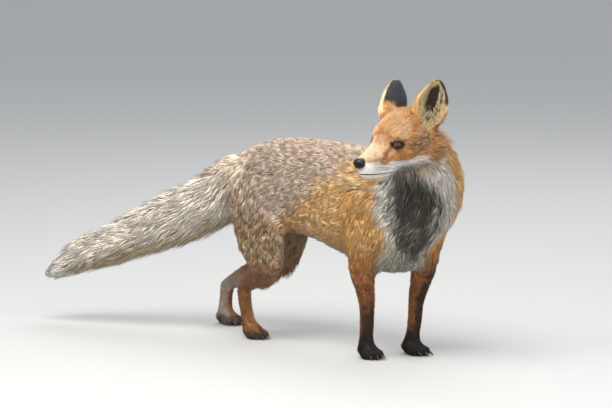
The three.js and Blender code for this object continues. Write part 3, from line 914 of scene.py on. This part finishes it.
def flow(points, normals, lie):
    """The lie of the coat along the skin, drooping down the flanks and swirling a little."""
    x = (points - np.array(MIDLINE))[:, 0]
    way = unit(lie)
    droop = DROOP * (1 - normals[:, 2] ** 2) * ramp(0.30, 0.18, np.abs(x - 0.03))
    way[:, 2] -= droop * ramp(0.14, 0.2, points[:, 2])
    way = unit(way - normals * np.sum(way * normals, axis=1)[:, None])
    swing = SWIRL * (0.6 * drift(points, 0.055, 11) + 0.7 * drift(points, 0.018, 12))
    aside = np.cross(normals, way)
    return unit(way * np.cos(swing)[:, None] + aside * np.sin(swing)[:, None])


skin.data.calc_loop_triangles()
corners = np.empty(len(skin.data.loop_triangles) * 3, np.int64)
skin.data.loop_triangles.foreach_get("vertices", corners)
corners = corners.reshape(-1, 3)
skin_points = read(skin.data)
skin_normals = read(skin.data, "normal")
a, b, c = (skin_points[corners[:, i]] for i in range(3))
centres = (a + b + c) / 3
tri_area = span(np.cross(b - a, c - a)) / 2
_, tri_coat, tri_hold = comb(centres)

AREAS = {
    "head": ("skull",),
    "ears": ("ear_left", "ear_right"),
    "neck": ("neck",),
    "trunk": ("trunk",),
    "tail": ("tail",),
    "forelegs": ("fore_left", "fore_right"),
    "hind_legs": ("hind_left", "hind_right"),
}
lines = list(COMB_LINES)
strongest = np.argmax(np.stack([tri_hold[line] for line in lines]), axis=0)
area_of = np.zeros(len(corners), int)
for number, members in enumerate(AREAS.values()):
    for line in members:
        area_of[strongest == lines.index(line)] = number


def scatter(chosen, layers, rng):
    """Roots spread over the chosen triangles, so that locks of the local size cover it `layers` deep."""
    size = 0.5 * tri_coat[:, 1] * tri_coat[:, 2]
    want = np.where(chosen, tri_area * layers / size, 0)
    count = int(want.sum())
    picked = np.searchsorted(np.cumsum(want) / want.sum(), (np.arange(count) + rng.random(count)) / count)
    picked = np.minimum(picked, len(corners) - 1)
    share = rng.random((count, 2))
    flip = share.sum(axis=1) > 1
    share[flip] = 1 - share[flip]
    weights = np.column_stack([1 - share.sum(axis=1), share])
    ids = corners[picked]
    roots = np.einsum("ij,ijk->ik", weights, skin_points[ids])
    normals = unit(np.einsum("ij,ijk->ik", weights, skin_normals[ids]))
    return roots, normals


def on_form(points):
    """The nearest places on the coat's outer form, and the way out of it there."""
    found = [outer_tree.find_nearest(point) for point in points.tolist()]
    return np.array([hit[0] for hit in found]), np.array([hit[1] for hit in found])


def draw_together(roots, tips, clump, rng):
    """Moves each tip toward the tip of the lock that leads its clump, the nearer the more."""
    spacing, leaders, pull = clump
    count = max(8, int(len(roots) * min(1, leaders)))
    chosen = rng.permutation(len(roots))[:count]
    tree = KDTree(count)
    for number, root in enumerate(roots[chosen].tolist()):
        tree.insert(root, number)
    tree.balance()
    nearest = np.array([tree.find(root)[1] for root in roots.tolist()])
    leader = chosen[nearest]
    apart = span(roots - roots[leader])
    share = pull * ramp(2.2 * spacing, 0.3 * spacing, apart)
    return tips + (tips[leader] - tips) * share[:, None], leader


coat_paint = paint("coat", Roughness=0.55, Specular_IOR_Level=0.3, Sheen_Weight=0.08, Sheen_Roughness=0.4)
tree = coat_paint.node_tree
strand_map = add(tree, "UVMap")
strand_map.uv_map = "strand"
strands = add(tree, "TexNoise", Vector=strand_map.outputs["UV"], Scale=1.0, Detail=2)
strands.noise_dimensions = "2D"
strand_shade = add(tree, "MapRange", Value=strands.outputs["Fac"])
feed(strand_shade, From_Min=0.3, From_Max=0.7, To_Min=0.7, To_Max=1.3)
shaded = add(tree, "VectorMath")
shaded.operation = "SCALE"
feed(shaded, Vector=painted(coat_paint), Scale=strand_shade.outputs["Result"])
dress(coat_paint, Base_Color=shaded.outputs["Vector"], Normal=relief(strands.outputs["Fac"], 0.6, 0.0005))
STRANDS_ACROSS = 7
FLOOR_GAP = 0.0004


def lock_piece(name, roots, bends, tips, normals, widths, colours, rings):
    """Builds all the locks of one piece as one mesh. colours holds one colour for each ring and the tip."""
    count = len(roots)
    stops = {0: [0.0], 1: [0.0, 0.5], 2: [0.0, 0.36, 0.72]}[rings]
    girth = {0: [1.0], 1: [0.8, 0.9], 2: [0.7, 1.0, 0.7]}[rings]
    per_lock = 3 * len(stops) + 1
    verts = np.empty((count, per_lock, 3), np.float32)
    tints = np.empty((count, per_lock, 3), np.float32)
    for number, (stop, wide) in enumerate(zip(stops, girth)):
        centre = roots * (1 - stop) ** 2 + bends * 2 * stop * (1 - stop) + tips * stop**2
        path = unit((bends - roots) * (1 - stop) + (tips - bends) * stop)
        aside = unit(np.cross(path, normals))
        raised = np.cross(aside, path)
        half = (widths * wide / 2)[:, None]
        verts[:, 3 * number] = centre + aside * half
        verts[:, 3 * number + 1] = centre - aside * half
        verts[:, 3 * number + 2] = centre + raised * half * 0.8
        tints[:, 3 * number : 3 * number + 3] = colours[number][:, None]
    verts[:, -1] = tips
    verts[:, :, 2] = np.maximum(verts[:, :, 2], FLOOR_GAP)
    tints[:, -1] = colours[-1]
    pattern = [(0, 2, 1)]
    for ring in range(len(stops) - 1):
        for corner in range(3):
            low, high = 3 * ring + corner, 3 * ring + (corner + 1) % 3
            pattern += [(low, high, high + 3), (low, high + 3, low + 3)]
    last = 3 * (len(stops) - 1)
    pattern += [(last + corner, last + (corner + 1) % 3, per_lock - 1) for corner in range(3)]
    pattern = np.array(pattern)
    faces = (pattern[None] + per_lock * np.arange(count)[:, None, None]).reshape(-1, 3)
    mesh = bpy.data.meshes.new(name)
    mesh.vertices.add(count * per_lock)
    mesh.vertices.foreach_set("co", verts.ravel())
    mesh.loops.add(len(faces) * 3)
    mesh.loops.foreach_set("vertex_index", faces.ravel().astype(np.int32))
    mesh.polygons.add(len(faces))
    mesh.polygons.foreach_set("loop_start", np.arange(0, len(faces) * 3, 3, dtype=np.int32))
    mesh.update(calc_edges=True)
    mesh.shade_smooth()
    store_colour(mesh, tints.reshape(-1, 3))
    _, _, hold = comb(roots)
    spots = unwrap(roots, hold)
    across = np.array([1.0, 0.0, 0.5] * len(stops) + [0.5]) - 0.5
    along = np.array([stop for stop in stops for _ in range(3)] + [1.0]) - 0.5
    start = np.random.default_rng(count).uniform(0, 400, (count, 2))
    patch = np.column_stack([across, along]) * PATCH
    weave = np.column_stack([across * STRANDS_ACROSS, along])
    for map_name, corner, spot in (("OFBake", spots, patch), ("strand", start, weave)):
        places = (corner[:, None] + spot[None]).reshape(-1, 2)
        uv = mesh.uv_layers.new(name=map_name)
        uv.data.foreach_set("uv", places[faces.ravel()].astype(np.float32).ravel())
    mesh.materials.append(coat_paint)
    piece = show(name, mesh)
    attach(piece, "root")


BARE_LIP = 0.0013
BARE_NOSE = 0.0100
BARE_SOLE = 0.004


def bare_of(roots, normals):
    """Which roots may bear a lock: none in the eyes, on the lips, on the nose or under the feet."""
    free = np.ones(len(roots), bool)
    for side in EYES:
        outside, _, far = eye_slit(roots, side)
        free &= (outside > 0.0020) | (far > EYE_RADIUS + 0.004)
    height, along = lip_line(in_head(roots))
    free &= ~((np.abs(height + LIP_BLACK_DROP) < BARE_LIP) & (along > 0.3))
    free &= (roots[:, 2] > BARE_SOLE) | (normals[:, 2] > -0.5)
    free &= span(roots - np.array(middle("nose"))) > BARE_NOSE
    return free


SHORTER = {"eyes": 0.4, "lips": 0.6}  # share of a lock's length lost close to them
SPLAY = 0.13
FOLLOW = 0.8  # how far a tip is moved to its place under the coat's outer form
ROOTED = 0.0006


def fur(name, area, layers, rings, seed, clump, stand, limit=None):
    """Grows one piece of coat, where limit says which places of its area it covers. clump is how far apart
    clumps are, the share of locks that lead one, and the pull on the rest. stand is the least and the most
    height of the tips, as a share of the coat's depth."""
    rng = np.random.default_rng(seed)
    chosen = area_of == list(AREAS).index(area)
    if limit is not None:
        chosen &= limit(centres)
    roots, normals = scatter(chosen, layers, rng)
    lie, coat, hold = comb(roots)
    row = markings(roots, normals, hold)
    kept = bare_of(roots, normals)
    roots, normals, coat, row, lie = (array[kept] for array in (roots, normals, coat, row, lie))
    count = len(roots)
    depth, length, width = coat.T
    length = length * rng.uniform(0.7, 1.15, count)
    if area == "head":
        for side in EYES:
            outside, _, far = eye_slit(roots, side)
            beside = ramp(0.009, 0.001, outside) * ramp(0.022, 0.015, far)
            length *= 1 - SHORTER["eyes"] * beside
        height, along = lip_line(in_head(roots))
        length *= 1 - SHORTER["lips"] * ramp(0.007, 0.003, np.abs(height)) * along
    width = width * rng.uniform(0.65, 1.2, count)
    way = flow(roots, normals, lie)
    way = unit(way + np.cross(normals, way) * rng.normal(0, SPLAY, count)[:, None])
    height = depth * rng.uniform(stand[0], stand[1], count)
    reach = np.sqrt(np.maximum(length**2 - height**2, (0.5 * length) ** 2))
    tips = roots + way * reach[:, None] + normals * height[:, None]
    if rings and area != "head":
        near, out = on_form(tips)
        sunk = depth - height
        tips = tips + (near - out * sunk[:, None] * 0.85 - tips) * FOLLOW
    tips, leader = draw_together(roots, tips, clump, rng)
    bends = roots + way * (reach * 0.35)[:, None] + normals * (height * 0.95)[:, None]
    bends += np.cross(normals, way) * (WAVE * length * drift(roots, 0.014, seed + 50))[:, None]
    roots = roots - normals * (ROOTED + 0.05 * depth)[:, None]
    under, over, dark, pale = row[:, 0:3], row[:, 3:6], row[:, 6], row[:, 7]
    pick = 0.35 * rng.random(count) + 0.65 * rng.random(count)[leader]
    is_dark = (pick < dark)[:, None]
    is_pale = (pick > 1 - pale)[:, None]
    vary = rng.normal(1, 0.08, count)[:, None] * rng.normal(1, 0.08, count)[leader][:, None]
    end = np.where(is_pale, over * 0.55 + PALE_LOCK * 0.45, over)
    end = np.where(is_dark, over * 0.35 + DARK_LOCK * 0.55, end)
    bottom = under * np.where(is_dark, 0.7, 0.95)
    inner = under * 0.5 + end * 0.5
    colours = {0: [inner, end], 1: [bottom, inner, end], 2: [bottom, inner, end, end]}[rings]
    colours = [tint * vary for tint in colours]
    lock_piece(name, roots, bends, tips, normals, width, colours, rings)


LEG_SPLIT = 0.135
TRUNK_SPLIT = 0.125
NECK_SPLIT = 0.335
fur("coat_head_left", "head", 3.2, 1, 21, (0.004, 0.2, 0.35), (0.5, 1.0),
    limit=lambda spots: in_head(spots)[:, 1] > 0)
fur("coat_head_right", "head", 2.9, 1, 22, (0.004, 0.2, 0.35), (0.5, 1.0),
    limit=lambda spots: in_head(spots)[:, 1] <= 0)
fur("coat_ears", "ears", 2.4, 0, 23, (0.003, 0.3, 0.2), (0.5, 1.0))
fur("coat_bib", "neck", 8.0, 1, 24, (0.008, 0.07, 0.5), (0.35, 1.0),
    limit=lambda spots: spots[:, 0] > NECK_SPLIT)
fur("coat_nape", "neck", 8.0, 1, 25, (0.008, 0.07, 0.5), (0.35, 1.0),
    limit=lambda spots: spots[:, 0] <= NECK_SPLIT)
for number, (side, end) in enumerate(((-1, -1), (-1, 1), (1, -1), (1, 1))):
    side_name = "right" if side < 0 else "left"
    end_name = "rear" if end < 0 else "front"
    fur("coat_trunk_" + side_name + "_" + end_name, "trunk", 7.2, 1, 26 + number,
        (0.010, 0.05, 0.6), (0.3, 0.95),
        limit=lambda spots: ((spots[:, 1] - MIDLINE.y) * side > 0) & ((spots[:, 0] - TRUNK_SPLIT) * end > 0))
fur("coat_tail", "tail", 10.0, 1, 31, (0.010, 0.07, 0.5), (0.3, 1.0))
for number, legs in enumerate(("forelegs", "hind_legs")):
    fur("coat_upper_" + legs, legs, 6.0 - number * 0.6, 1, 32 + number,
        (0.009, 0.05, 0.6), (0.35, 0.95),
        limit=lambda spots: spots[:, 2] > LEG_SPLIT)
    fur("coat_lower_" + legs, legs, 3.0, 0, 34 + number, (0.004, 0.15, 0.3), (0.4, 1.0),
        limit=lambda spots: spots[:, 2] <= LEG_SPLIT)

# Long pale hairs stand along the walls of each ear's cup and reach over its mouth toward the tip.
FRINGE = {"length": 0.014, "width": 0.0006, "layers": 0.9}
rng = np.random.default_rng(41)
tri_out = unit(np.cross(b - a, c - a))
fringe_roots, fringe_out, fringe_way, fringe_along = [], [], [], []
for side in ("left", "right"):
    local, across, floor_there = ear_place(centres, side)
    wall = (np.abs(across) > 0.45) & (np.abs(across) < 1.0) & (np.abs(local[:, 0]) < 14) & (local[:, 2] < 58)
    wall |= (np.abs(across) < 0.8) & (np.abs(local[:, 0]) < 14) & (local[:, 2] < 8) & (local[:, 2] > -16)
    wall &= (local[:, 0] > floor_there - 1.0) & ((across * OUTER[side] < 0.72) | (local[:, 2] < 26))
    wall &= np.abs(np.einsum("ij,j->i", tri_out, np.array(EAR_AXES[side])[:, 0]) - 0.45) < 0.65
    roots, normals = scatter(wall & (area_of == list(AREAS).index("ears")), FRINGE["layers"], rng)
    local, across, _ = ear_place(roots, side)
    axes = np.array(EAR_AXES[side])
    inward = -np.sign(across) * ramp(0.2, 0.7, np.abs(across))
    way = axes[:, 2] * 0.75 + axes[:, 0] * 0.25 + inward[:, None] * axes[:, 1] * 0.45
    fringe_roots.append(roots)
    fringe_out.append(normals)
    fringe_way.append(unit(way + rng.normal(0, 0.14, (len(roots), 3))))
    fringe_along.append(ramp(60, 20, local[:, 2]))
roots, normals, way = (np.concatenate(array) for array in (fringe_roots, fringe_out, fringe_way))
long = FRINGE["length"] * rng.uniform(0.5, 1.1, len(roots)) * (0.5 + 0.5 * np.concatenate(fringe_along))
tint = tone("#e3cf9f") * rng.uniform(0.55, 1.05, (len(roots), 1))
fur_way = (way * 0.6 + normals * 0.4) * long[:, None]
lock_piece("ear_fringe", roots - normals * 0.0005, roots + fur_way * 0.5,
           roots + way * long[:, None], normals, np.full(len(roots), FRINGE["width"]),
           [tint * 0.6, tint, tint], 1)

# ---- Eyes ----
# Glass eyes set behind the lids: a dark ball with a slight swelling in front, a ring of dark amber iris
# with fine spokes and a darker edge, and an upright oval pupil, all under a clear wet gloss. The upper
# part of the iris is darkened as painted shade from the lid.
IRIS_RADIUS = 0.0068
PUPIL = (0.0021, 0.0046)
CORNEA = 0.0006


def maths(operation, *values):
    """The result of a Math node. The first value is a socket, the others are sockets or plain numbers."""
    node = add(values[0].id_data, "Math")
    node.operation = operation
    for socket, value in zip(node.inputs, values):
        plug(socket, value)
    return node.outputs[0]


def blend_colours(share, first, second):
    """A Mix node from one colour to another, each a socket or a plain colour."""
    node = add(share.id_data, "Mix")
    node.data_type = "RGBA"
    feed(node, Factor=share)
    for name, value in (("A", first), ("B", second)):
        socket = [s for s in node.inputs if s.name == name and s.type == "RGBA"][0]
        plug(socket, value if isinstance(value, bpy.types.NodeSocket) else (*value, 1))
    return [s for s in node.outputs if s.type == "RGBA"][0]


glass = paint("glass_eye", Roughness=0.1, Specular_IOR_Level=0.15, Coat_Weight=0.35, Coat_Roughness=0.03)
tree = glass.node_tree
gaze = add(tree, "UVMap")
gaze.uv_map = "gaze"
apart = add(tree, "SeparateXYZ", Vector=gaze.outputs["UV"])
along = maths("SUBTRACT", apart.outputs["X"], 0.5)
rise = maths("SUBTRACT", apart.outputs["Y"], 0.5)
squares = maths("ADD", maths("MULTIPLY", along, along), maths("MULTIPLY", rise, rise))
from_centre = maths("POWER", squares, 0.5)
iris_share = IRIS_RADIUS / (2 * EYE_RADIUS)
around = maths("MULTIPLY", maths("ARCTAN2", rise, along), 2.2)
spoke_place = add(tree, "CombineXYZ", X=around, Y=maths("MULTIPLY", from_centre, 1.5))
spokes = add(tree, "TexNoise", Vector=spoke_place.outputs[0], Scale=9, Detail=4)
spokes.noise_dimensions = "2D"
amber = blend_colours(spokes.outputs["Fac"], tone("#2c1809"), tone("#6f4014"))
from_ring = maths("SUBTRACT", from_centre, iris_share * 0.80)
edge = maths("MAXIMUM", maths("MULTIPLY", from_ring, 1 / (iris_share * 0.2)), 0.0)
ringed = blend_colours(maths("SMOOTH_MIN", edge, 1.0, 0.1), amber, tone("#140c08"))
pupil_across = maths("DIVIDE", along, PUPIL[0] / (2 * EYE_RADIUS))
pupil_up = maths("DIVIDE", rise, PUPIL[1] / (2 * EYE_RADIUS))
pupil_far = maths("ADD", maths("MULTIPLY", pupil_across, pupil_across), maths("MULTIPLY", pupil_up, pupil_up))
# Painted shade from the upper lid: the iris darkens toward its top.
lid_shade = maths("MULTIPLY_ADD", maths("MAXIMUM", rise, -0.05), 5.0, 0.25)
lid_shaded_iris = blend_colours(maths("MINIMUM", lid_shade, 0.85), ringed, tone("#1a0f08"))
dress(glass, Base_Color=blend_colours(maths("LESS_THAN", pupil_far, 1.0), lid_shaded_iris, tone("#030303")))

for side in EYES:
    centre, axes = EYES[side]
    look, along_slit, across_slit = axes
    ball = bmesh.new()
    bmesh.ops.create_uvsphere(ball, u_segments=40, v_segments=28, radius=EYE_RADIUS)
    gaze_map = ball.loops.layers.uv.new("gaze")
    for vertex in ball.verts:
        from_axis = math.hypot(vertex.co.x, vertex.co.y)
        if vertex.co.z > 0 and from_axis < IRIS_RADIUS:
            vertex.co.z += CORNEA * (1 - (from_axis / IRIS_RADIUS) ** 2)
    for face in ball.faces:
        for loop in face.loops:
            place = loop.vert.co / (2 * EYE_RADIUS)
            loop[gaze_map].uv = (place.x + 0.5, place.y + 0.5)
    turned = Matrix((along_slit, across_slit, look)).transposed()
    bmesh.ops.transform(ball, matrix=Matrix.Translation(centre) @ turned.to_4x4(), verts=ball.verts)
    bmesh.ops.recalc_face_normals(ball, faces=ball.faces)
    eyeball = solid("eyeball_" + side, ball, glass)
    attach(eyeball, "root")
    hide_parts("eye_" + side)

# ---- Nose ----
# The bare black leather at the end of the muzzle: a rounded pad with two comma-shaped nostrils that run
# out to its sides, a shallow groove down the middle, and a fine pebbled grain.
NOSE_HALF = Vector((0.0096, 0.0116, 0.0090))
NOSTRIL = {"at": (0.0068, 0.0056, -0.0008), "reach": 0.0028, "deep": 0.0055}
NOSTRIL_SLIT = {"at": (0.0030, 0.0098, -0.0016), "reach": 0.0018, "deep": 0.0026}
NOSE_GROOVE = {"half": 0.0007, "deep": 0.0007}
nose_centre = middle("nose")
pad = bmesh.new()
bmesh.ops.create_uvsphere(pad, u_segments=72, v_segments=48, radius=1.0)
bmesh.ops.scale(pad, vec=NOSE_HALF, verts=pad.verts)
for vertex in pad.verts:
    place = vertex.co
    flat = max(place.x / NOSE_HALF.x, 0) ** 2
    inward = Vector((0.0, 0.0, 0.0))
    for pit in (NOSTRIL, NOSTRIL_SLIT):
        apart = (Vector((place.x, abs(place.y), place.z)) - Vector(pit["at"])).length
        if place.x > 0:
            inward.x -= pit["deep"] * math.exp(-((apart / pit["reach"]) ** 2))
    groove = NOSE_GROOVE["deep"] * math.exp(-((place.y / NOSE_GROOVE["half"]) ** 2))
    if place.x > 0:
        inward.x -= groove * flat
    top = max(place.z / NOSE_HALF.z, 0)
    inward.x -= 0.0012 * top * max(place.x / NOSE_HALF.x, 0)
    vertex.co = place + inward
turned = Matrix((HEAD_FORWARD, HEAD_LEFT, HEAD_UP)).transposed()
bmesh.ops.transform(pad, matrix=Matrix.Translation(nose_centre) @ turned.to_4x4(), verts=pad.verts)
bmesh.ops.recalc_face_normals(pad, faces=pad.faces)
leather = paint("nose_leather", Roughness=0.3, Specular_IOR_Level=0.22, Coat_Weight=0.1, Coat_Roughness=0.2)
grain = texture(leather, "TexVoronoi", Scale=1300)
cloud = texture(leather, "TexNoise", Scale=220)
mottle = blend_colours(cloud.outputs["Fac"], tone("#050507"), tone("#131318"))
dress(leather, Base_Color=mottle, Normal=relief(grain.outputs["Distance"], 0.35, 0.0003))
nose_leather = solid("nose_leather", pad, leather)
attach(nose_leather, "root")
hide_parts("nose")

# ---- Whiskers ----
# Stiff tapering hairs in four rows along each side of the muzzle, and two above each eye. They are black,
# and each is a thin blade that leaves the skin sideways and sweeps back.
WHISKER_WIDTH = 0.0004
WHISKER_ROWS = ((3, -8, 0.04), (4, -12, 0.05), (4, -16, 0.055), (3, -20, 0.04))  # how many, height, length
WHISKER_BED = {"front": 131, "apart": 6, "stagger": 1.5, "rise": 0.6, "aside": 18}
BROW_WHISKERS = ((70, 24, 24, 0.022), (66, 26, 25, 0.027))  # place on the head in millimetres, length
rng = np.random.default_rng(31)
skin_tree = BVHTree.FromPolygons(read(skin.data).tolist(), [tuple(p.vertices) for p in skin.data.polygons])
roots, bends, tips, outs, widths = [], [], [], [], []


def add_whisker(place, sweep, length):
    root, out, _, _ = skin_tree.find_nearest(on_head(*place))
    start = out.lerp(sweep, 0.45).normalized()
    end = out.lerp(sweep, 0.8).normalized()
    roots.append(root - out * 0.0015)
    bends.append(root + start * length * 0.5)
    tips.append(root + start * length * 0.5 + end * length * 0.5)
    outs.append(out)
    widths.append(WHISKER_WIDTH * rng.uniform(0.8, 1.1))


for side in (1, -1):
    for row_number, (many, height, length) in enumerate(WHISKER_ROWS):
        for number in range(many):
            back = WHISKER_BED["front"] - number * WHISKER_BED["apart"] - row_number * WHISKER_BED["stagger"]
            drop = rng.uniform(-0.5, 0.15)
            sweep = (-HEAD_FORWARD * 0.8 + HEAD_LEFT * side * 0.5 + HEAD_UP * drop).normalized()
            long = length * (0.55 + 0.45 * number / many) * rng.uniform(0.85, 1.1)
            rise = height + number * WHISKER_BED["rise"]
            add_whisker((back, side * WHISKER_BED["aside"], rise), sweep, long)
    for x, y, z, length in BROW_WHISKERS:
        sweep = (-HEAD_FORWARD * 0.5 + HEAD_LEFT * side * 0.3 + HEAD_UP * 0.5).normalized()
        add_whisker((x, side * y, z), sweep, length)
whisker_tone = np.tile(tone("#15110f"), (len(roots), 1))
lock_piece("whiskers", np.array(roots), np.array(bends), np.array(tips), np.array(outs),
           np.array(widths), [whisker_tone] * 4, 2)

# ---- Claws ----
# Blunt dark horn claws, four to a foot. They leave the toes just over the floor, spread a little and curve
# down toward it.
CLAW = {"length": 0.0095, "half": 0.0020, "tip": 0.0004, "height": 0.0070, "drop": 0.0054}
TOE_ENDS = ((20.0, -13.0), (28.5, -4.5), (28.5, 4.5), (20.0, 13.0))  # forward and aside of the foot's middle
FEET = {  # the middle of each foot on the floor, and how many degrees it is turned to the left
    "fore_left": (on_body(246, 43, 0), 4),
    "fore_right": (on_body(228, -46, 0), -8),
    "hind_left": (on_body(-246, 26, 0), 6),
    "hind_right": (on_body(-84, -48, 0), -6),
}
horn = paint("claw_horn", Roughness=0.38)
streaks = texture(horn, "TexNoise", Scale=400)
dress(horn, Base_Color=blend_colours(streaks.outputs["Fac"], tone("#0f0b09"), tone("#2c2520")))
for leg, (foot, yaw) in FEET.items():
    claws = bmesh.new()
    turn = Matrix.Rotation(math.radians(yaw), 4, "Z")
    for forward, aside in TOE_ENDS:
        before = len(claws.verts)
        bmesh.ops.create_cone(claws, cap_ends=True, segments=10, radius1=CLAW["half"], radius2=CLAW["tip"],
                              depth=CLAW["length"])
        claws.verts.ensure_lookup_table()
        made = claws.verts[before:]
        edges = {edge for vertex in made for edge in vertex.link_edges}
        long_edges = [edge for edge in edges if edge.calc_length() > CLAW["length"] / 2]
        bmesh.ops.subdivide_edges(claws, edges=long_edges, cuts=4)
        claws.verts.ensure_lookup_table()
        made = claws.verts[before:]
        for vertex in made:
            share = vertex.co.z / CLAW["length"] + 0.5
            ahead = share * CLAW["length"]
            vertex.co = Vector((ahead, vertex.co.x * 0.8, vertex.co.y * 1.2 - CLAW["drop"] * share**1.8))
        spot = Matrix.Translation(Vector((forward, aside, 0)) / 1000 + Vector((0, 0, CLAW["height"])))
        splay = Matrix.Rotation(math.radians(aside * 0.6), 4, "Z")
        bmesh.ops.transform(claws, matrix=Matrix.Translation(foot) @ turn @ spot @ splay, verts=made)
    bmesh.ops.recalc_face_normals(claws, faces=claws.faces)
    claw_piece = solid("claws_" + leg, claws, horn)
    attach(claw_piece, "root")

bpy.data.objects.remove(form)
